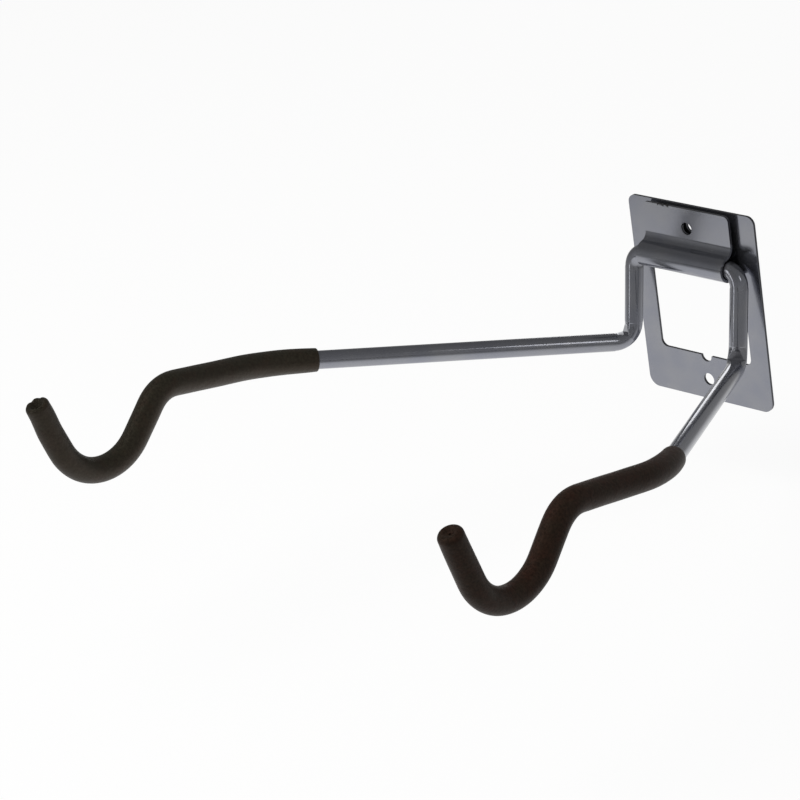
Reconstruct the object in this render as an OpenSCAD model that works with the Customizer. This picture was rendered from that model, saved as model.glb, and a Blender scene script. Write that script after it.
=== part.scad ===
// Folding bicycle wall rack.
// A stamped steel wall plate has its tongue rolled round the cross bar of a bent steel
// tube. The tube runs down two legs, out along two arms and ends in two hooks, which
// carry the bicycle in foam sleeves. Loaded, the legs lean on the plate beside its
// window. Unloaded, the arms swing up against the wall, with the cross bar as the pin.
// The wall is the plane y = 0, the room is towards -y, and z is up. The origin is the
// centre of the plate's back, midway between its two screw holes.

/* [Wall plate] */
// Width of the plate
plate_w = 110; // [106:1:130]
// Height of the plate
plate_h = 145; // [140:1:170]
// Thickness of the sheet steel
sheet_t = 2; // [1.5:0.1:2.5]
// Radius of the plate's upper corners
top_corner_r = 6; // [3:0.5:10]
// Radius of the plate's lower corners
bottom_corner_r = 8; // [3:0.5:12]
// Diameter of the two screw holes
hole_d = 9; // [5:0.5:10]
// Distance from each screw hole's centre to the end of the plate
hole_edge = 15; // [12:0.5:17]
// Height of the solid band below the window
band_h = 33; // [28:0.5:36]
// Radius of the window's lower corners
window_r = 5; // [3:0.5:8]

/* [Rolled tongue] */
// Distance from each end of the roll out to the leg's axis
roll_end_gap = 9; // [9:0.25:12]
// Width of the slots that part the tongue from the sheet beside it
slot_w = 2.5; // [1.5:0.1:4]
// Distance from the plate's upper end down to the cross bar's axis
bar_drop = 37; // [34:0.5:42]
// Gap between the plate's face and the back of the cross bar
bar_gap = 3; // [2.5:0.1:4]
// Play all round between the cross bar and the inside of the roll
roll_play = 0.75; // [0.7:0.05:1]
// Inside radius of the bend where the tongue leaves the plate
root_r = 3; // [2:0.25:4]
// Gap between the plate's face and the flap that the tongue ends in
flap_gap = 3.4; // [2.5:0.1:4]
// Inside radius of the bend from the roll up into the flap
flap_bend_r = 6; // [4:0.5:8]
// Radius of the flap's two upper corners
flap_corner_r = 4; // [2:0.5:8]
// Distance from the flap's upper end down to the plate's upper end
flap_inset = 0.5; // [0:0.25:3]
// How far the slots beside the tongue reach above its bend
slot_rise = 3; // [1.5:0.25:5]

/* [Bent tube] */
// Outside diameter of the tube
tube_d = 12.7; // [11:0.1:14]
// Wall thickness of the tube
tube_wall = 1.2; // [0.8:0.1:2]
// Distance between the axes of the two legs
leg_spacing = 93; // [90:0.5:96]
// Length of a leg, from the cross bar's axis down to the arm's axis
leg_length = 65.5; // [55:0.5:75]
// Distance between the arms' axes where they bend into the hooks
hook_spacing = 352; // [280:1:420]
// Distance from the legs out to the point where the arms bend into the hooks
arm_reach = 229; // [190:1:280]
// Slope of the arms above square to the legs, in degrees
arm_rise = 2; // [0:0.5:6]
// How far each hook still turns outward, in degrees
hook_toe = 2; // [0:0.5:6]
// Angle that the arms are lifted from legs parallel to the wall, in degrees
lift_angle = 10.6; // [0:0.1:30]
// Bend radius at the ends of the cross bar, to the tube's axis
bar_bend_r = 11; // [10:0.25:11.5]
// Bend radius at the feet of the legs, to the tube's axis
foot_bend_r = 14; // [12:0.5:20]
// Bend radius where the arms turn into the hooks, to the tube's axis
arm_bend_r = 105; // [60:5:140]

/* [Hooks] */
// Length of the straight run before a hook drops, measured between bend corners
run_length = 93.5; // [80:0.5:110]
// Slope of the hook's inner side below level, in degrees
drop_angle = 56; // [45:1:70]
// Length of the hook's inner side, measured between bend corners
drop_length = 95; // [88:0.5:120]
// Slope of the hook's outer side above level, in degrees
tip_angle = 61.5; // [50:0.5:75]
// Length of the hook's outer side, from its bend corner to the tip
tip_length = 98; // [92:0.5:120]
// Bend radius at the top of the drop, to the tube's axis
knee_r = 24; // [18:1:30]
// Bend radius of the cradle that the bicycle rests in, to the tube's axis
cradle_r = 36; // [25:1:38]

/* [Sleeves and plugs] */
// Wall thickness of the foam sleeves
sleeve_wall = 2.35; // [1.8:0.05:5]
// How much a sleeve's wall thins towards its end at the hook's tip
tip_thinning = 0.6; // [0:0.05:1]
// Length over which it thins there
tip_taper = 30; // [10:1:32]
// How much a sleeve's wall thins towards its end on the arm
arm_thinning = 0.9; // [0:0.05:1]
// Length over which it thins there
arm_taper = 11; // [6:0.5:11]
// Radius of the sleeves' rounded ends
sleeve_round = 1.1; // [0.5:0.1:1.2]
// How far a sleeve covers the arm before the bend into the hook
sleeve_cover = 16; // [12:0.5:40]
// Depth of the mouth that a sleeve's lip leaves at the tip
mouth_depth = 2.6; // [2.2:0.1:5]
// How far the sleeve's lip closes in over the tube's end
lip_inset = 1.3; // [0.5:0.1:2]
// Thickness of an end plug's flange
plug_flange_t = 1.2; // [0.8:0.1:2]
// Length of an end plug's body inside the tube
plug_length = 9; // [6:0.5:14]

/* [Hidden] */
$fn = 64;
// Clearance between pieces that are pushed together, and between the foam and the tube
fit_gap = 0.05;
foam_gap = 0.2;
// Extra length that takes a cut clear through a face
over = 1;
// How much slimmer the tube, its bore and its sleeve are drawn in a bend
draw_down = 0.05;
// How much thinner on each side the sheet is drawn in a bend
sheet_draw = 0.02;
// How far each straight length runs on into the bend at its end
lap = 0.4;
// How many degrees the roll runs on into the bend that leads up to the flap
roll_lap = 1;

steel_grey = [0.42, 0.44, 0.50];
foam_black = [0.10, 0.09, 0.08];
plug_black = [0.05, 0.05, 0.05];

hole_z = plate_h / 2 - hole_edge;
window_bottom = -plate_h / 2 + band_h;

tube_r = tube_d / 2;
bore_r = tube_r - tube_wall;
bar_z = plate_h / 2 - bar_drop;
bar_y = -(sheet_t + bar_gap + tube_r);

roll_r = tube_r + roll_play;
root_z = bar_z - roll_r + root_r;
root_y = -(sheet_t + root_r);
tongue_w = leg_spacing - 2 * roll_end_gap;
window_w = tongue_w + 2 * slot_w;
slot_z = root_z + slot_rise - slot_w / 2;

// The flap's back, the centre of the bend that leads up to it, and the angle at which
// that bend and the roll meet, seen from +x and measured from +y
flap_back_y = -(sheet_t + flap_gap);
flap_bend_y = flap_back_y - sheet_t - flap_bend_r;
bend_offset = flap_bend_y - bar_y;
bend_distance = roll_r + sheet_t + flap_bend_r;
flap_bend_z = bar_z + sqrt(pow(bend_distance, 2) - pow(bend_offset, 2));
meet_angle = acos(bend_offset / bend_distance);
flap_bottom = flap_bend_z - lap;
flap_top = plate_h / 2 - flap_inset;

sleeve_r = tube_r + sleeve_wall;
sleeve_bore_r = tube_r + foam_gap;
lip_r = sleeve_bore_r - lip_inset;
tube_end_gap = mouth_depth + plug_flange_t + fit_gap;

// ---- The tube's path, with the cross bar's axis on x and the legs hanging down ----

// A step of a given length in a hook's plane, sloping up by an angle
function hook_step(length, slope) =
    length * [sin(hook_toe) * cos(slope), -cos(hook_toe) * cos(slope), sin(slope)];

bar_end = [leg_spacing / 2, 0, 0];
foot = bar_end - [0, 0, leg_length];
elbow = [hook_spacing / 2, -arm_reach * cos(arm_rise),
         -leg_length + arm_reach * sin(arm_rise)];
knee = elbow + hook_step(run_length, arm_rise);
cradle = knee + hook_step(drop_length, -drop_angle);
tip = cradle + hook_step(tip_length, tip_angle);
tube_end = tip - tube_end_gap * unit(tip - cradle);

half_radii = [bar_bend_r, foot_bend_r, arm_bend_r, knee_r, cradle_r];
frame_radii = concat(reversed(half_radii), half_radii);
sleeve_start = elbow
    - unit(elbow - foot) * (set_back(foot, elbow, knee, arm_bend_r) + sleeve_cover);
tip_end_start = tip - tip_taper * unit(tip - cradle);
arm_end_start = sleeve_start + arm_taper * unit(elbow - sleeve_start);
sleeve_radii = [arm_bend_r, knee_r, cradle_r];

// The corners of the whole tube, which ends at the given point and at its mirror image
function frame_path(end) =
    let (half = [bar_end, foot, elbow, knee, cradle, end])
    concat(reversed([for (p = half) mirrored(p)]), half);
function unit(v) = v / norm(v);
// Angle that the path turns through at corner b, between its neighbours a and c
function turn(a, b, c) = acos(unit(b - a) * unit(c - b));
// Distance from corner b back to where its bend of radius r starts
function set_back(a, b, c, r) = r * tan(turn(a, b, c) / 2);
function mirrored(v) = [-v.x, v.y, v.z];
function reversed(list) = [for (i = [len(list) - 1 : -1 : 0]) list[i]];

// Carries a child that stands on the origin along +z onto the line from p towards q
module along(p, q)
{
    d = q - p;
    translate(p)
        rotate([0, acos(d.z / norm(d)), atan2(d.y, d.x)])
            children();
}

// The bend of radius r at corner b, for a solid rod of radius rod_r
module bend(a, b, c, r, rod_r)
{
    along_in = unit(b - a);
    along_out = unit(c - b);
    axis = unit(cross(along_in, along_out));
    outward = cross(along_in, axis);
    start = b - along_in * set_back(a, b, c, r);
    centre = start - outward * r;
    multmatrix([
        [outward.x, along_in.x, axis.x, centre.x],
        [outward.y, along_in.y, axis.y, centre.y],
        [outward.z, along_in.z, axis.z, centre.z]
    ])
        rotate_extrude(angle = turn(a, b, c))
            translate([r, 0])
                circle(rod_r);
}

// A bent rod through the corners of path, with radii[i] at its inner corner i + 1
module bent_rod(path, radii, rod_r)
{
    last = len(path) - 1;
    trims = [for (i = [0 : last])
        i == 0 || i == last ? 0
            : set_back(path[i - 1], path[i], path[i + 1], radii[i - 1])];
    for (i = [0 : last - 1]) {
        p = path[i];
        q = path[i + 1];
        start = i == 0 ? 0 : trims[i] - lap;
        stop = i == last - 1 ? 0 : trims[i + 1] - lap;
        along(p + unit(q - p) * start, q)
            cylinder(h = norm(q - p) - start - stop, r = rod_r);
    }
    for (i = [1 : last - 1])
        bend(path[i - 1], path[i], path[i + 1], radii[i - 1], rod_r - draw_down);
}

// Moves what is drawn about the cross bar's axis to the bar's place, at rest
module on_cross_bar()
{
    translate([0, bar_y, bar_z])
        rotate([-lift_angle, 0, 0])
            children();
}

// The left-hand copy of what is drawn for the right-hand hook
module on_side(side)
{
    mirror([side < 0 ? 1 : 0, 0, 0])
        children();
}

// ---- Wall plate ----

// A flat outline centred on x from z = low to z = high, with its own radius at each end
module rounded_outline(w, low, high, low_r, high_r)
{
    polygon([
        [-w / 2, low + low_r], [-w / 2 + low_r, low], [w / 2 - low_r, low],
        [w / 2, low + low_r], [w / 2, high - high_r], [w / 2 - high_r, high],
        [-w / 2 + high_r, high], [-w / 2, high - high_r]
    ]);
    for (side = [-1, 1]) {
        translate([side * (w / 2 - low_r), low + low_r])
            circle(low_r);
        translate([side * (w / 2 - high_r), high - high_r])
            circle(high_r);
    }
}

// Stands an outline up as sheet, with its back at the given y
module stand_sheet(back_y)
{
    translate([0, back_y, 0])
        rotate([90, 0, 0])
            linear_extrude(sheet_t)
                children();
}

// The window, with the slots that part the tongue from the sheet beside it
module window_outline()
{
    slot_middle = (tongue_w + slot_w) / 2;
    window_top = root_z - lap;
    window_middle = (window_bottom + window_top) / 2;
    rounded_outline(window_w, window_bottom, window_top, window_r, window_r);
    translate([-window_w / 2, window_middle])
        square([window_w, window_top - window_middle]);
    for (side = [-1, 1])
        translate([side * slot_middle, 0]) {
            translate([-slot_w / 2, root_z - over])
                square([slot_w, slot_z - root_z + over]);
            translate([0, slot_z])
                circle(slot_w / 2);
        }
}

module screw_hole(z)
{
    translate([0, over, z])
        rotate([90, 0, 0])
            cylinder(h = 2 * (sheet_t + over) + flap_gap, d = hole_d);
}

// A strip of sheet as wide as the tongue, bent round the x axis. It starts at an angle
// measured from +y towards +z, and sweeps forwards or, below zero, backwards
module strip_bend(inner_r, from_angle, sweep, thin = sheet_draw)
{
    rotate([90, 0, 90])
        rotate([0, 0, from_angle])
            mirror([0, sweep < 0 ? 1 : 0, 0])
                rotate_extrude(angle = abs(sweep))
                    translate([inner_r + thin, -tongue_w / 2])
                        square([sheet_t - 2 * thin, tongue_w]);
}

// The tongue: out of the plate, under the bar, round its front and up into the flap
module tongue()
{
    translate([0, root_y, root_z])
        strip_bend(root_r, 270, 90);
    translate([-tongue_w / 2, bar_y - lap, bar_z - roll_r - sheet_t])
        cube([tongue_w, root_y - bar_y + 2 * lap, sheet_t]);
    translate([0, bar_y, bar_z])
        strip_bend(roll_r, 270, meet_angle - roll_lap - 270);
    translate([0, flap_bend_y, flap_bend_z])
        strip_bend(flap_bend_r, 360, meet_angle - 180, 2 * sheet_draw);
    stand_sheet(flap_back_y) {
        translate([-tongue_w / 2, flap_bottom])
            square([tongue_w, flap_top - flap_corner_r - flap_bottom]);
        translate([-tongue_w / 2 + flap_corner_r, flap_bottom])
            square([tongue_w - 2 * flap_corner_r, flap_top - flap_bottom]);
        for (side = [-1, 1])
            translate([side * (tongue_w / 2 - flap_corner_r), flap_top - flap_corner_r])
                circle(flap_corner_r);
    }
}

module wall_plate()
{
    color(steel_grey)
        difference() {
            union() {
                stand_sheet(0)
                    difference() {
                        rounded_outline(plate_w, -plate_h / 2, plate_h / 2,
                                        bottom_corner_r, top_corner_r);
                        window_outline();
                        translate([0, window_bottom])
                            circle(d = hole_d);
                    }
                tongue();
            }
            screw_hole(hole_z);
            screw_hole(-hole_z);
        }
}

// ---- Bent tube ----

module arm_frame()
{
    // The bore runs on past both ends of the tube
    bore_end = tube_end + over * unit(tube_end - cradle);
    color(steel_grey)
        on_cross_bar()
            difference() {
                bent_rod(frame_path(tube_end), frame_radii, tube_r);
                bent_rod(frame_path(bore_end), frame_radii, bore_r);
            }
}

// ---- Sleeves and plugs, drawn for the right-hand hook ----

// An end of a sleeve, from z = 0 up, which thins to a rounded edge
module thinning_end(length, thinning)
{
    end_r = sleeve_r - thinning;
    end_round = min(sleeve_round, end_r - sleeve_bore_r);
    rotate_extrude()
        difference() {
            union() {
                polygon([
                    [bore_r, -lap], [sleeve_r, -lap], [sleeve_r, 0],
                    [end_r, length - end_round], [end_r - end_round, length],
                    [bore_r, length]
                ]);
                translate([end_r - end_round, length - end_round])
                    circle(end_round);
            }
            translate([0, -over])
                square([sleeve_bore_r, length + 2 * over]);
        }
}

// The lip that closes in over the tube's end, from z = 0 up
module lip()
{
    rotate_extrude()
        translate([lip_r, 0])
            square([sleeve_bore_r + lap - lip_r, mouth_depth]);
}

module sleeve(side)
{
    body_path = [arm_end_start, elbow, knee, cradle, tip_end_start];
    color(foam_black)
        on_cross_bar()
            on_side(side) {
                difference() {
                    bent_rod(body_path, sleeve_radii, sleeve_r);
                    bent_rod(body_path, sleeve_radii, sleeve_bore_r);
                }
                along(arm_end_start, sleeve_start)
                    thinning_end(arm_taper, arm_thinning);
                along(tip_end_start, tip)
                    thinning_end(tip_taper, tip_thinning);
                along(tip - mouth_depth * unit(tip - cradle), tip)
                    lip();
            }
}

module end_plug(side)
{
    color(plug_black)
        on_cross_bar()
            on_side(side)
                along(tube_end, tip) {
                    cylinder(h = plug_flange_t, r = tube_r - fit_gap);
                    translate([0, 0, -plug_length])
                        cylinder(h = plug_length, r = bore_r - fit_gap);
                }
}

wall_plate();
arm_frame();
sleeve(-1);  // sleeve_left
sleeve(1);  // sleeve_right
end_plug(-1);  // end_plug_left
end_plug(1);  // end_plug_right
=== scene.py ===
import math

import bmesh
import bpy
import numpy as np
from mathutils import Matrix, Vector


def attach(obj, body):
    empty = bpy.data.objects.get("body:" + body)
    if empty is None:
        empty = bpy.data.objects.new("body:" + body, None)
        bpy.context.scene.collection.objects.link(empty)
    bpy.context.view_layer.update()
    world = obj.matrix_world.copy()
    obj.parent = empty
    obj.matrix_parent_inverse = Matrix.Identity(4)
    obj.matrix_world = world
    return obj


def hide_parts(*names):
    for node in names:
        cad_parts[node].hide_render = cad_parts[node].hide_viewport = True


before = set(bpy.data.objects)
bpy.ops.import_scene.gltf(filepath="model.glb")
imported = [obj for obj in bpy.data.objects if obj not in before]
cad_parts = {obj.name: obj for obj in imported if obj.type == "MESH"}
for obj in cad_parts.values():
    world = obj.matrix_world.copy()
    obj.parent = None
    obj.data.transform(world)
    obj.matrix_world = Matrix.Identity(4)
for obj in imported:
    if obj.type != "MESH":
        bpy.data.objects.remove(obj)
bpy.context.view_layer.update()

# ---- Wall plate ----
# One blank of 2 mm sheet steel, stamped with its window and screw holes. Its tongue is
# rolled forward round the cross bar and folded back up against the upper front. After
# forming it is powder coated in a gloss metallic grey.

mm = 0.001
plate_h = 145 * mm
plate_middle, flap_middle = -1 * mm, -6.4 * mm
behind_flap = -4 * mm
flap_root, flap_top = 52 * mm, plate_h / 2 - 0.5 * mm
edge_round, sharp_angle = 0.28 * mm, math.radians(30)
chips_x, chips_half = -19 * mm, 5 * mm
weld_gap = 0.001 * mm


def linear(hex_colour):
    """An sRGB hex colour as linear RGBA: a channel c is c / 12.92 up to 0.04045, and
    ((c + 0.055) / 1.055) to the power 2.4 above it."""
    value = np.array([int(hex_colour[i:i + 2], 16) / 255 for i in (1, 3, 5)])
    value = np.where(value <= 0.04045, value / 12.92, ((value + 0.055) / 1.055) ** 2.4)
    return (*value.tolist(), 1.0)


def add(tree, kind, inputs=None, **settings):
    """One shader node with its settings. Each input is set to a value, or linked from a
    socket. A Mix node takes its share at input 0, numbers at 2 and 3, colours at 6 and 7."""
    node = tree.nodes.new("ShaderNode" + kind)
    for name, value in settings.items():
        setattr(node, name, value)
    for name, value in (inputs or {}).items():
        if isinstance(value, bpy.types.NodeSocket):
            tree.links.new(value, node.inputs[name])
        else:
            node.inputs[name].default_value = value
    return node


def new_material(name):
    """An empty node material, as (material, its node tree)."""
    material = bpy.data.materials.new(name)
    material.use_nodes = True
    material.node_tree.nodes.clear()
    return material, material.node_tree


def place_mesh(name, mesh, material):
    """An object for a finished mesh, at the origin, smooth shaded."""
    piece = bpy.data.objects.new(name, mesh)
    bpy.context.scene.collection.objects.link(piece)
    mesh.materials.clear()
    mesh.materials.append(material)
    mesh.polygons.foreach_set("use_smooth", np.ones(len(mesh.polygons), bool))
    return piece


def grey_powder_coat(name, darker, lighter, stamped):
    """Gloss metallic grey polyester powder coat, baked on steel.

    Aluminium flake under a clear skin gives a metal's reflections with a soft edge. The
    skin has orange peel about 1.6 mm across, and the flake drifts a little in tone. On a
    stamped sheet the coat is thin and dull along the cut edges, which are also painted
    darker as the shade that lines them, and it is chipped at the top.
    """
    material, tree = new_material(name)
    # The flake is under 0.1 mm across, and is drawn at 0.7 mm so that it shows
    drift_width, flake_width, peel_width = 22 * mm, 0.7 * mm, 1.6 * mm
    place = add(tree, "TexCoord").outputs["Object"]
    drift = add(tree, "TexNoise", {"Vector": place, "Scale": 1 / drift_width, "Detail": 3.0})
    flake = add(tree, "TexNoise", {"Vector": place, "Scale": 1 / flake_width, "Detail": 2.0})
    tone = add(tree, "MapRange", {"Value": drift.outputs[0], "From Min": 0.3, "From Max": 0.7})
    grey = add(tree, "Mix", {0: tone.outputs[0], 6: linear(darker), 7: linear(lighter)},
               data_type="RGBA")
    fleck = add(tree, "MapRange", {"Value": flake.outputs[0], "From Min": 0.35,
                                   "From Max": 0.65, "To Min": 0.97, "To Max": 1.03})
    coat = add(tree, "Mix", {0: 1.0, 6: grey.outputs[2], 7: fleck.outputs[0]},
               data_type="RGBA", blend_type="MULTIPLY")
    rough = add(tree, "MapRange", {"Value": drift.outputs[0], "From Min": 0.3,
                                   "From Max": 0.7, "To Min": 0.13, "To Max": 0.19})
    peel = add(tree, "TexNoise", {"Vector": place, "Scale": 1 / peel_width, "Detail": 1.0})
    skin = add(tree, "Bump", {"Height": peel.outputs[0], "Strength": 0.35,
                              "Distance": 0.02 * mm})
    colour, roughness = coat.outputs[2], rough.outputs[0]
    if stamped:
        spot = add(tree, "SeparateXYZ", {"Vector": place})
        # Cut edges: within the sheet's thickness, clear of both its faces, on plate and flap
        cuts = []
        for middle in (plate_middle, flap_middle):
            off = add(tree, "Math", {0: spot.outputs[1], 1: middle}, operation="SUBTRACT")
            off = add(tree, "Math", {0: off.outputs[0]}, operation="ABSOLUTE")
            cuts.append(add(tree, "MapRange", {"Value": off.outputs[0], "From Min": 0.9 * mm,
                                               "From Max": 0.6 * mm}))
        above_roll = add(tree, "Math", {0: spot.outputs[2], 1: flap_root},
                         operation="GREATER_THAN")
        on_flap = add(tree, "Math", {0: cuts[1].outputs[0], 1: above_roll.outputs[0]},
                      operation="MULTIPLY")
        cut = add(tree, "Math", {0: cuts[0].outputs[0], 1: on_flap.outputs[0]},
                  operation="MAXIMUM")
        # Chips in a short row along the flap's upper edge, where it was knocked in the packing
        chips = add(tree, "TexNoise", {"Vector": place, "Scale": 1 / (2.6 * mm),
                                       "Detail": 3.0, "Roughness": 0.7})
        near_top = add(tree, "MapRange", {"Value": spot.outputs[2],
                                          "From Min": flap_top - 1.3 * mm,
                                          "From Max": flap_top - 0.5 * mm})
        off = add(tree, "Math", {0: spot.outputs[0], 1: chips_x}, operation="SUBTRACT")
        off = add(tree, "Math", {0: off.outputs[0]}, operation="ABSOLUTE")
        in_row = add(tree, "MapRange", {"Value": off.outputs[0],
                                        "From Min": chips_half + 0.5 * mm,
                                        "From Max": chips_half - 0.5 * mm})
        in_front = add(tree, "Math", {0: spot.outputs[1], 1: behind_flap},
                       operation="LESS_THAN")
        where = add(tree, "Math", {0: near_top.outputs[0], 1: in_row.outputs[0]},
                    operation="MULTIPLY")
        there = add(tree, "Math", {0: where.outputs[0], 1: in_front.outputs[0]},
                    operation="MULTIPLY")
        spots = add(tree, "MapRange", {"Value": chips.outputs[0], "From Min": 0.4,
                                       "From Max": 0.48})
        chip = add(tree, "Math", {0: spots.outputs[0], 1: there.outputs[0]},
                   operation="MULTIPLY")
        # Painted shade: the cut edges get a darker grey, which stands in for the shade that
        # lines the sheet's edges
        painted_edge_shade = add(tree, "Mix", {0: cut.outputs[0], 6: colour, 7: linear("#5a5a5e")},
                   data_type="RGBA")
        worn = add(tree, "Mix", {0: chip.outputs[0], 6: painted_edge_shade.outputs[2], 7: linear("#2b2726")},
                   data_type="RGBA")
        bare = add(tree, "Math", {0: cut.outputs[0], 1: chip.outputs[0]}, operation="MAXIMUM")
        dull = add(tree, "MapRange", {"Value": bare.outputs[0], "To Min": roughness,
                                      "To Max": 0.4})
        colour, roughness = worn.outputs[2], dull.outputs[0]
    shader = add(tree, "BsdfPrincipled", {
        "Base Color": colour, "Metallic": 0.93, "Roughness": roughness,
        "Normal": skin.outputs[0]})
    add(tree, "OutputMaterial", {"Surface": shader.outputs[0]})
    return material


def rounded_copy(node, name):
    """The solid's own surface with its loose triangles joined, flat parts freed of their
    cuts, and each sharp edge rounded by a narrow bevel."""
    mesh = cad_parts[node].data.copy()
    mesh.name = name
    shape = bmesh.new()
    shape.from_mesh(mesh)
    bmesh.ops.remove_doubles(shape, verts=shape.verts, dist=weld_gap)
    bmesh.ops.dissolve_limit(shape, angle_limit=math.radians(0.5), verts=shape.verts,
                             edges=shape.edges)
    sharp = [edge for edge in shape.edges
             if len(edge.link_faces) == 2 and edge.calc_face_angle() > sharp_angle]
    bmesh.ops.bevel(shape, geom=sharp, offset=edge_round, segments=3, profile=0.5,
                    affect="EDGES", clamp_overlap=True)
    bmesh.ops.recalc_face_normals(shape, faces=shape.faces)
    shape.to_mesh(mesh)
    shape.free()
    return mesh


plate = place_mesh("plate_coated", rounded_copy("wall_plate", "plate_coated"),
                   grey_powder_coat("gloss_grey_powder_coat_stamped", "#858790", "#8f9095",
                                    stamped=True))
even_flats = plate.modifiers.new("even_flats", "WEIGHTED_NORMAL")
even_flats.keep_sharp = True
even_flats.weight = 100
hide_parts("wall_plate")
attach(plate, "plate")

# ---- Bent tube ----
# One length of 12.7 mm steel tube, cold bent in ten places before the tongue is rolled
# round it. Each tight bend flattens the tube a little, and the foot bends pinch the wall
# into a crease on their inner side.

tube_r, tube_wall = 12.7 / 2 * mm, 1.2 * mm
bar_centre = np.array([0, -11.35, 35.5]) * mm
lift_angle = math.radians(10.6)
leg_half, leg_length = 46.5 * mm, 65.5 * mm
hook_half, arm_reach = 176 * mm, 229 * mm
arm_rise, hook_toe = math.radians(2), math.radians(2)
run_length, drop_length, tip_length = 93.5 * mm, 95 * mm, 98 * mm
drop_angle, tip_angle = math.radians(56), math.radians(61.5)
bend_radii = np.array([11, 14, 105, 24, 36]) * mm
foot_bend_r = bend_radii[1]
tube_end_gap = 3.85 * mm
tube_around = 64


def unit(v):
    """Each vector divided by its length."""
    return v / np.linalg.norm(v, axis=-1, keepdims=True)


def ease(t):
    """3 t^2 - 2 t^3 with t held between 0 and 1: a rise that starts and ends level."""
    t = np.clip(t, 0, 1)
    return t ** 2 * (3 - 2 * t)


def hook_step(length, slope):
    """A step in the hook's plane: length times (sin toe cos slope, -cos toe cos slope,
    sin slope)."""
    return length * np.array([math.sin(hook_toe) * math.cos(slope),
                              -math.cos(hook_toe) * math.cos(slope), math.sin(slope)])


def half_path():
    """The corners of the right-hand half, from the middle of the cross bar to the hook's tip."""
    bar_end = np.array([leg_half, 0, 0])
    foot = bar_end - np.array([0, 0, leg_length])
    elbow = np.array([hook_half, -arm_reach * math.cos(arm_rise),
                      -leg_length + arm_reach * math.sin(arm_rise)])
    knee = elbow + hook_step(run_length, arm_rise)
    cradle = knee + hook_step(drop_length, -drop_angle)
    tip = cradle + hook_step(tip_length, tip_angle)
    return np.array([np.zeros(3), bar_end, foot, elbow, knee, cradle, tip])


def follow(s):
    """The half path at distances s: straight runs joined by arcs.

    On a run, start + distance * direction. In a bend of radius r, centre - r cos(a) inward
    + r sin(a) onward, with a = distance / r. Gives points, directions, the direction
    towards the bend's centre, how tight the bend is, with 1 for the foot bend, and for each
    bend the distance at its middle and half its turn, then the whole length.
    """
    corners = half_path()
    onward = unit(np.diff(corners, axis=0))
    half_turn = np.arccos(np.sum(onward[:-1] * onward[1:], axis=1)) / 2
    back = bend_radii * np.tan(half_turn)
    point, direction, inward = (np.zeros((len(s), 3)) for _ in range(3))
    tight, middles, reached = np.zeros(len(s)), [], 0.0
    for i, ahead in enumerate(onward):
        start = corners[i] + ahead * (back[i - 1] if i else 0)
        stop = corners[i + 1] - ahead * (back[i] if i < len(back) else 0)
        here = s >= reached
        point[here] = start + (s[here] - reached)[:, None] * ahead
        direction[here], inward[here], tight[here] = ahead, 0, 0
        reached += np.linalg.norm(stop - start)
        if i == len(back):
            break
        r = bend_radii[i]
        towards = unit(onward[i + 1] - ahead * np.sum(onward[i + 1] * ahead))
        here = s >= reached
        a = ((s[here] - reached) / r)[:, None]
        point[here] = stop + r * ((1 - np.cos(a)) * towards + np.sin(a) * ahead)
        direction[here] = np.cos(a) * ahead + np.sin(a) * towards
        inward[here] = np.cos(a) * towards - np.sin(a) * ahead
        tight[here] = foot_bend_r / r
        middles.append(reached + r * half_turn[i])
        reached += 2 * r * half_turn[i]
    return point, direction, inward, tight, np.array(middles), half_turn, reached


def at_rest(points):
    """From the bar's own axes to the object's: a turn by the lift angle about x, then to
    the bar."""
    c, s = math.cos(lift_angle), math.sin(lift_angle)
    turned = np.stack([points[..., 0], points[..., 1] * c + points[..., 2] * s,
                       -points[..., 1] * s + points[..., 2] * c], axis=-1)
    return turned + bar_centre


def carried_circle(s, radius, around):
    """A circle carried along the path: centre(s) + radius * (cos a * side(s) + sin a * rise(s)).

    side is a fixed slanting direction made square to the path, and rise is square to both.
    radius is a function of s, a, how far each direction faces the bend's centre, and how
    tight the bend is.
    """
    slant = np.array([0.62, 0.5, 0.6])
    centre, direction, inward, tight = follow(s)[:4]
    side = unit(np.cross(direction, slant))
    rise = np.cross(direction, side)
    a = np.linspace(0, 2 * np.pi, around, endpoint=False)
    spoke = np.cos(a)[None, :, None] * side[:, None] + np.sin(a)[None, :, None] * rise[:, None]
    facing = np.sum(spoke * inward[:, None], axis=2)
    reach = radius(s[:, None], a[None, :], facing, tight[:, None])
    return at_rest(centre[:, None] + reach[:, :, None] * spoke)


def ring_faces(rows, around, closed):
    """Quads between neighbouring rows of a grid that closes round, and from the last row
    to the first if closed."""
    row = np.arange(rows if closed else rows - 1)[:, None]
    col = np.arange(around)[None, :]
    after, beside = (row + 1) % rows, (col + 1) % around
    return np.stack([row * around + col, row * around + beside,
                     after * around + beside, after * around + col], axis=-1).reshape(-1, 4)


def surface_mesh(name, points, faces):
    """A mesh from a grid of points and its quads, with doubles merged and faces outwards."""
    mesh = bpy.data.meshes.new(name)
    mesh.from_pydata(points.reshape(-1, 3).tolist(), [], faces.tolist())
    shape = bmesh.new()
    shape.from_mesh(mesh)
    bmesh.ops.remove_doubles(shape, verts=shape.verts, dist=weld_gap)
    bmesh.ops.recalc_face_normals(shape, faces=shape.faces)
    shape.to_mesh(mesh)
    shape.free()
    return mesh


middles, half_turns, path_length = follow(np.zeros(1))[-3:]


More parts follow.
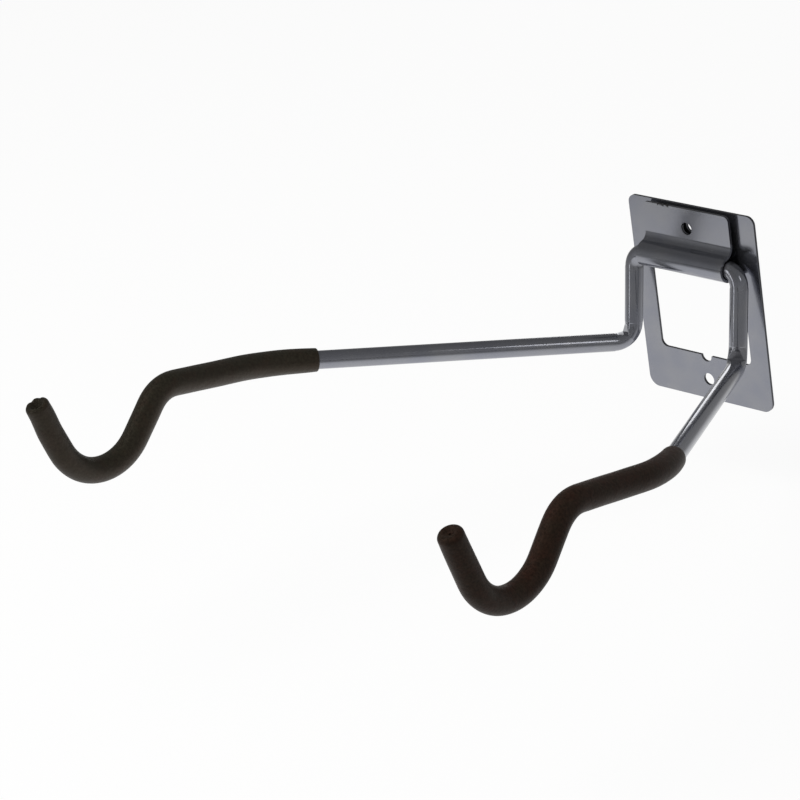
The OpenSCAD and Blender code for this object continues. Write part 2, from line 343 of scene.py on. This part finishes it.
def wall_radius(depth):
    """The radius of the tube's surface at a depth into its wall, as a function for
    carried_circle.

    It is the tube's radius less a flattening in tight bends. At the foot bend the inner
    side folds in to a chord: inner radius * (1 / cos(angle left in the bend) - 1) below
    the round, which brings the leg's and the arm's inner lines to a sharp corner, and up
    to 0.55 mm more. Round and chord meet by the soft minimum
    (a + b - sqrt((a - b)^2 + blend^2)) / 2. The metal that the fold pushes aside widens
    the bend.
    """
    flattening, most_tight = 0.25 * mm, 1.2
    fold_onset, fold_extra, fold_blend = 0.35, 0.55 * mm, 0.4 * mm
    pushed_aside, inner_side = 0.12, 0.05

    def radius(s, a, facing, tight):
        base = tube_r - flattening * np.clip(tight, 0, most_tight) * facing ** 2
        left = np.clip(half_turns[1] - np.abs(s - middles[1]) / foot_bend_r, 0, None)
        onset = ease(left / fold_onset)
        sink = (foot_bend_r - tube_r) * (1 / np.cos(left) - 1) + fold_extra * onset
        base = base + pushed_aside * sink * (1 - facing ** 2)
        chord = (tube_r - sink) / np.clip(facing, inner_side, 1)
        folded = (base + chord - np.sqrt((base - chord) ** 2 + (fold_blend * onset) ** 2)) / 2
        return np.where((facing > inner_side) & (left > 0), folded, base) - depth
    return radius


def tube_stations():
    """Distances at which the tube is drawn: every 6 mm along the bar, leg and arm, 0.8 mm
    round the bar bend, 0.25 mm round the foot bend, and 3 mm from the elbow to the tip."""
    elbow_start, end = middles[2] - 40 * mm, path_length - tube_end_gap
    s = np.concatenate([np.arange(0, elbow_start, 6 * mm),
                        middles[0] + np.arange(-10, 10, 0.8) * mm,
                        middles[1] + np.arange(-13, 13, 0.25) * mm,
                        np.arange(elbow_start, end, 3 * mm), [end]])
    return np.unique(s)


stations = tube_stations()
outer = carried_circle(stations, wall_radius(0), tube_around)
inner = carried_circle(stations[::-1], wall_radius(tube_wall), tube_around)
half = np.concatenate([outer, inner])
faces = ring_faces(len(half), tube_around, closed=False)
mirrored = half * np.array([-1, 1, 1])
tube_points = np.concatenate([half, mirrored])
tube_faces = np.concatenate([faces, faces[:, ::-1] + len(half) * tube_around])
tube = place_mesh("bent_tube", surface_mesh("bent_tube", tube_points, tube_faces),
                  grey_powder_coat("gloss_grey_powder_coat", "#8c8e97", "#96979c",
                                   stamped=False))
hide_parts("arm_frame")
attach(tube, "arms")

# ---- Foam sleeves ----
# Two lengths of black NBR foam tube, pushed over the hooks with soapy water before the
# arms are packed. The foam stretches over the steel, thins towards its cut ends, and
# closes in a little over the open end of the tube.

foam_r, foam_bore = 8.75 * mm, tube_r + 0.2 * mm
foam_around = 96
plug_face = path_length - 2.65 * mm
tip_onward = at_rest(follow(np.array([path_length]))[1][0]) - at_rest(np.zeros(3))


def nbr_foam(name, browner, gloss):
    """Black NBR foam rubber, extruded and cut.

    A closed skin, uneven every 5 mm or so and with pores of about 0.5 mm, so it is matt
    with a dusty sheen at its edges. It is warm black in cloudy patches, and one batch is
    browner and duller than another.
    """
    material, tree = new_material(name)
    # The pores are drawn 1.6 mm across, about three times their size, so that they show
    cloud_width, uneven_width, pore_width = 9 * mm, 5 * mm, 1.6 * mm
    place = add(tree, "TexCoord").outputs["Object"]
    cloud = add(tree, "TexNoise", {"Vector": place, "Scale": 1 / cloud_width, "Detail": 4.0,
                                   "Roughness": 0.6})
    tone = add(tree, "MapRange", {"Value": cloud.outputs[0], "From Min": 0.36, "From Max": 0.64,
                                  "To Min": browner - 0.25, "To Max": browner + 0.25})
    black = add(tree, "Mix", {0: tone.outputs[0], 6: linear("#201f18"), 7: linear("#291913")},
                data_type="RGBA")
    pore = add(tree, "TexNoise", {"Vector": place, "Scale": 1 / pore_width, "Detail": 4.0,
                                  "Roughness": 0.65})
    uneven = add(tree, "TexNoise", {"Vector": place, "Scale": 1 / uneven_width,
                                    "Detail": 2.0})
    # Painted shade and light: the colour darkens in the pores, where the bump sinks, and
    # lightens a little on the skin between them
    painted_pore_shading = add(tree, "MapRange", {"Value": pore.outputs[0], "From Min": 0.32, "From Max": 0.62,
                                  "To Min": 0.4, "To Max": 1.2})
    colour = add(tree, "Mix", {0: 1.0, 6: black.outputs[2], 7: painted_pore_shading.outputs[0]},
                 data_type="RGBA", blend_type="MULTIPLY")
    height = add(tree, "Math", {0: uneven.outputs[0], 1: 2.0, 2: pore.outputs[0]},
                 operation="MULTIPLY_ADD")
    skin = add(tree, "Bump", {"Height": height.outputs[0], "Strength": 0.7,
                              "Distance": 0.2 * mm})
    shader = add(tree, "BsdfPrincipled", {
        "Base Color": colour.outputs[2], "Roughness": 0.5, "Specular IOR Level": gloss,
        "Specular Tint": linear("#d8c2b0"), "Sheen Weight": 0.1, "Sheen Roughness": 0.35,
        "Sheen Tint": linear("#b9b2a8"), "Normal": skin.outputs[0]})
    add(tree, "OutputMaterial", {"Surface": shader.outputs[0]})
    return material


def sleeve_profile(length, reach, thinning, rim, hole_r, dish):
    """Distance along the path and radius of the sleeve's section, from the arm's end over
    the outside to the tip, round the rim, down the dish and the hole, and back along the bore.

    Outside, the radius is foam_r, less thinning * exp(-distance from tip / 24 mm), less
    0.75 mm * exp(-distance from arm end / 13 mm). Both rims are quarter circles. The dish
    sinks from the rim to the hole by dish * (3 t^2 - 2 t^3).
    """
    tip_taper, arm_taper, arm_thinning = 24 * mm, 13 * mm, 0.75 * mm
    edge, ring_step, bore_step, throat = 1.3 * mm, 1.5 * mm, 6 * mm, hole_r - 0.1 * mm
    total = path_length + reach
    start = total - length
    turn = np.linspace(0, np.pi / 2, 8)
    s = np.arange(start + edge, total - rim, ring_step)
    r = (foam_r - thinning * np.exp((s - total) / tip_taper)
         - arm_thinning * np.exp((start - s) / arm_taper))
    first = np.stack([start + edge - edge * np.cos(turn), r[0] - edge + edge * np.sin(turn)])
    last = np.stack([total - rim + rim * np.sin(turn), r[-1] - rim + rim * np.cos(turn)])
    t = np.linspace(0, 1, 9)[1:]
    crest = r[-1] - rim
    hollow = np.stack([total - dish * ease(t), crest + (hole_r - crest) * t])
    hole = np.array([[total - dish - 0.3 * mm, throat], [plug_face, throat],
                     [plug_face, foam_bore]]).T
    back = np.append(np.arange(plug_face - bore_step, start + 2 * mm, -bore_step),
                     start + 0.2 * mm)
    bore = np.stack([back, np.full(len(back), foam_bore)])
    return np.concatenate([first, np.stack([s, r])[:, 1:-1], last, hollow, hole, bore], axis=1)


def sleeve_mesh(name, side, length, reach, thinning, rim, hole_r, dish, lean, dips, seed):
    """The sleeve's section turned round the path, with slow swells in its radius, dips in
    its rim and a free end that leans.

    The swells are 0.09 mm * three waves, 57, 107 and 33 mm long, that go once, twice and
    three times round. The tip is set back by the sum of depth * exp(-(angle / width)^2)
    over the dips, which fades out over 6 mm. It is shifted by lean * (3 t^2 - 2 t^3),
    where t goes from 0 at 26 mm before the tip to 1 at 8 mm.
    """
    swell, gather = 0.09 * mm, 0.12 * mm
    dips_fade, lean_from, lean_over = 6 * mm, 26 * mm, 18 * mm
    s, r = sleeve_profile(length, reach, thinning, rim, hole_r, dish)
    to_tip = path_length + reach - s
    outside = r > foam_bore + 0.1 * mm
    phase = np.random.default_rng(seed).uniform(0, 2 * np.pi, 6)

    def radius(s_grid, a, facing, tight):
        along = s_grid / mm
        wave = (np.sin(along / 9 + phase[0]) * np.cos(a + phase[1])
                + 0.7 * np.sin(along / 17 + phase[2]) * np.cos(2 * a + phase[3])
                + 0.5 * np.sin(along / 5.3 + phase[4]) * np.cos(3 * a + phase[5]))
        # The foam is stretched thin outside a bend and gathers inside it
        squeeze = gather * facing * np.clip(tight, 0, 1)
        return r[:, None] + outside[:, None] * (swell * wave + squeeze)

    points = carried_circle(s, radius, foam_around)
    middle, depth, width = np.radians(dips[:, 0]), dips[:, 1] * mm, np.radians(dips[:, 2])
    turns = np.linspace(0, 2 * np.pi, foam_around, endpoint=False)
    away = (turns[:, None] - middle + np.pi) % (2 * np.pi) - np.pi
    set_back = np.sum(depth * np.exp(-(away / width) ** 2), axis=1)
    near = ease((dips_fade - to_tip) / dips_fade) * ((s > plug_face) | (r > foam_bore))
    points = points - near[:, None, None] * set_back[None, :, None] * tip_onward
    leaning = ease((lean_from - to_tip) / lean_over)
    leaning = leaning * (outside | ((s > plug_face) & (r > hole_r)))
    points = points + leaning[:, None, None] * lean
    faces = ring_faces(len(s), foam_around, closed=True)
    return surface_mesh(name, points * np.array([side, 1, 1]), faces)


# The left foam was cut 8 mm longer, stands further past the tube and has an uneven rim.
# A dip in a rim is its angle round the rim in degrees, depth in mm and width in degrees
left_dips = np.array([[283, 0.85, 13], [232, 0.9, 13], [150, 0.4, 30], [30, 0.4, 40]])
right_dips = np.array([[210, 0.4, 35], [80, 0.3, 30]])
left_mesh = sleeve_mesh("foam_left", side=-1, length=276.4 * mm, reach=2.4 * mm,
                        thinning=0.75 * mm, rim=2.5 * mm, hole_r=1.3 * mm, dish=3.6 * mm,
                        lean=np.array([-0.25, 1.0, -0.1]) * mm, dips=left_dips, seed=4)
right_mesh = sleeve_mesh("foam_right", side=1, length=268.2 * mm, reach=1.2 * mm,
                         thinning=0.7 * mm, rim=3.5 * mm, hole_r=0.7 * mm, dish=1.6 * mm,
                         lean=np.zeros(3), dips=right_dips, seed=6)
for side_name, foam_mesh, browner, gloss in (("left", left_mesh, 0.05, 0.66),
                                             ("right", right_mesh, 0.75, 0.36)):
    sleeve = place_mesh(f"foam_{side_name}", foam_mesh,
                        nbr_foam(f"black_nbr_foam_{side_name}", browner, gloss))
    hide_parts(f"sleeve_{side_name}")
    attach(sleeve, "arms")

# ---- End plugs ----
# Two plugs moulded in black polyethylene, pushed into the tube's open ends. Their flanges
# show at the bottom of the foam's mouths.


def moulded_polyethylene(name):
    """Black low-density polyethylene, injection moulded.

    The mould's spark-eroded grain makes it satin, with a faint cloudy bloom.
    """
    material, tree = new_material(name)
    # The grain is about 0.1 mm across, and is drawn at 0.3 mm so that it shows
    grain_width, bloom_width = 0.3 * mm, 4 * mm
    place = add(tree, "TexCoord").outputs["Object"]
    grain = add(tree, "TexNoise", {"Vector": place, "Scale": 1 / grain_width, "Detail": 2.0})
    bloom = add(tree, "TexNoise", {"Vector": place, "Scale": 1 / bloom_width})
    tone = add(tree, "Mix", {0: bloom.outputs[0], 6: linear("#141312"), 7: linear("#1e1c1b")},
               data_type="RGBA")
    rough = add(tree, "MapRange", {"Value": bloom.outputs[0], "To Min": 0.42, "To Max": 0.6})
    skin = add(tree, "Bump", {"Height": grain.outputs[0], "Strength": 0.3,
                              "Distance": 0.02 * mm})
    shader = add(tree, "BsdfPrincipled", {"Base Color": tone.outputs[2],
                                          "Roughness": rough.outputs[0],
                                          "Normal": skin.outputs[0]})
    add(tree, "OutputMaterial", {"Surface": shader.outputs[0]})
    return material


plug = moulded_polyethylene("black_moulded_polyethylene")
for node in ("end_plug_left", "end_plug_right"):
    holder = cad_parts[node]
    holder.data.materials.clear()
    holder.data.materials.append(plug)

# ---- Studio ----
# The rack is shown as if held against its wall, over a white table, in a room with a grey
# ceiling. One soft lamp hangs overhead. Three weak strip lamps, in front, at the right and
# behind, draw the thin highlights along the tube.

table_z = -135 * mm
table_glow, lit_middle = 0.92, (-0.18, -0.14, table_z)
view_azimuth, view_elevation, view_roll = (math.radians(a) for a in (47.91, 23.913, -9.017))
view_distance = 2192.44 * mm
view_target = np.array([-100.52, -200, -10.565]) * mm
lens_length, sensor_width = 146.72, 36


def studio_surface(name, corners):
    """A flat four-cornered surface that isn't part of the rack."""
    mesh = bpy.data.meshes.new(name)
    mesh.from_pydata(corners, [], [(0, 1, 2, 3)])
    surface = bpy.data.objects.new(name, mesh)
    bpy.context.scene.collection.objects.link(surface)
    return surface


table = studio_surface("white_table", [(-6, -3, table_z), (6, -3, table_z),
                                       (6, 7, table_z), (-6, 7, table_z)])
# Metal and foam mirror the table brightest under the rack, and less further out
material, tree = new_material("white_laminate")
light_path = add(tree, "LightPath")
outwards = add(tree, "VectorMath", {0: add(tree, "TexCoord").outputs["Object"],
                                    1: lit_middle}, operation="DISTANCE")
pool = add(tree, "MapRange", {"Value": outwards.outputs["Value"], "From Min": 0.08,
                              "From Max": 0.75, "To Min": 1.08, "To Max": 0.3},
           interpolation_type="SMOOTHSTEP")
mirrored_light = add(tree, "Mix", {0: light_path.outputs["Is Glossy Ray"], 2: 1.0,
                                   3: pool.outputs[0]}, data_type="FLOAT")
seen = add(tree, "Math", {0: light_path.outputs["Is Camera Ray"],
                          1: light_path.outputs["Is Glossy Ray"]}, operation="MAXIMUM")
seen = add(tree, "Math", {0: seen.outputs[0],
                          1: light_path.outputs["Is Transmission Ray"]}, operation="MAXIMUM")
share = add(tree, "Math", {0: seen.outputs[0], 1: table_glow}, operation="MULTIPLY")
lit = add(tree, "BsdfDiffuse", {"Color": linear("#f2f2f0")})
white = add(tree, "Emission", {"Color": (1, 1, 1, 1), "Strength": mirrored_light.outputs[0]})
mixed = add(tree, "MixShader", {0: share.outputs[0], 1: lit.outputs[0], 2: white.outputs[0]})
add(tree, "OutputMaterial", {"Surface": mixed.outputs[0]})
table.data.materials.append(material)

world = bpy.data.worlds.new("grey_room")
bpy.context.scene.world = world
world.use_nodes = True
room = world.node_tree
room.nodes.clear()
direction = add(room, "TexCoord").outputs["Generated"]
heading = add(room, "SeparateXYZ", {0: direction})
ceiling = add(room, "MapRange", {"Value": heading.outputs[2], "From Min": 0.0, "From Max": 0.6,
                                 "To Min": 0.31, "To Max": 0.18})
# The room is a little lighter to the right
shade = add(room, "Math", {0: heading.outputs[0], 1: 0.07, 2: ceiling.outputs[0]},
            operation="MULTIPLY_ADD")
# A pale wall at the front left, which the roll mirrors
towards_wall = add(room, "VectorMath", {0: direction, 1: (-0.65, -0.75, 0.1)},
                   operation="DOT_PRODUCT")
pale_wall = add(room, "MapRange", {"Value": towards_wall.outputs["Value"], "From Min": 0.7,
                                   "From Max": 1.0, "To Min": 0.0, "To Max": 0.06},
                interpolation_type="SMOOTHSTEP")
shade = add(room, "Math", {0: shade.outputs[0], 1: pale_wall.outputs[0]}, operation="ADD")
# Seen straight on, past the table, the room is plain white
camera_ray = add(room, "LightPath").outputs["Is Camera Ray"]
brightness = add(room, "Mix", {0: camera_ray, 2: shade.outputs[0], 3: 1.0}, data_type="FLOAT")
sky = add(room, "Background", {"Color": (1, 1, 1, 1), "Strength": brightness.outputs[0]})
add(room, "OutputWorld", {"Surface": sky.outputs[0]})


def soft_lamp(name, at, aim, size, watts, shown):
    """A rectangular soft lamp at a point, aimed at another. shown says if metal mirrors it."""
    data = bpy.data.lights.new(name, "AREA")
    data.shape, data.size, data.size_y, data.energy = "RECTANGLE", size[0], size[1], watts
    lamp = bpy.data.objects.new(name, data)
    bpy.context.scene.collection.objects.link(lamp)
    lamp.location = at
    lamp.rotation_mode = "QUATERNION"
    lamp.rotation_quaternion = (Vector(aim) - Vector(at)).to_track_quat("-Z", "Y")
    lamp.visible_camera, lamp.visible_glossy = False, shown


soft_lamp("overhead", at=(-0.6, -1.1, 1.9), aim=(-0.05, -0.2, 0), size=(1.6, 1.6),
          watts=46, shown=False)
soft_lamp("front_strip", at=(-0.47, -1.13, 0.32), aim=(0, -0.02, 0.32), size=(0.12, 0.9),
          watts=0.8, shown=True)
soft_lamp("side_strip", at=(0.785, -0.052, 0.508), aim=(-0.064, -0.054, -0.022),
          size=(0.08, 0.3), watts=0.22, shown=True)
soft_lamp("rear_strip", at=(-0.96, 1.07, 0.03), aim=(0.11, -0.12, -0.03), size=(0.2, 0.22),
          watts=0.27, shown=True)

back = np.array([math.sin(view_azimuth) * math.cos(view_elevation),
                 -math.cos(view_azimuth) * math.cos(view_elevation), math.sin(view_elevation)])
level_right = np.array([math.cos(view_azimuth), math.sin(view_azimuth), 0])
upright = np.cross(back, level_right)
right = math.cos(view_roll) * level_right + math.sin(view_roll) * upright
up = -math.sin(view_roll) * level_right + math.cos(view_roll) * upright
eye = view_target + back * view_distance
camera = bpy.data.objects.new("camera", bpy.data.cameras.new("camera"))
bpy.context.scene.collection.objects.link(camera)
camera.data.lens, camera.data.sensor_width = lens_length, sensor_width
camera.matrix_world = Matrix([[*map(float, row), float(e)] for row, e in
                              zip(np.stack([right, up, back], axis=1), eye)] + [[0, 0, 0, 1]])
bpy.context.scene.camera = camera
bpy.context.scene.view_settings.view_transform = "Standard"
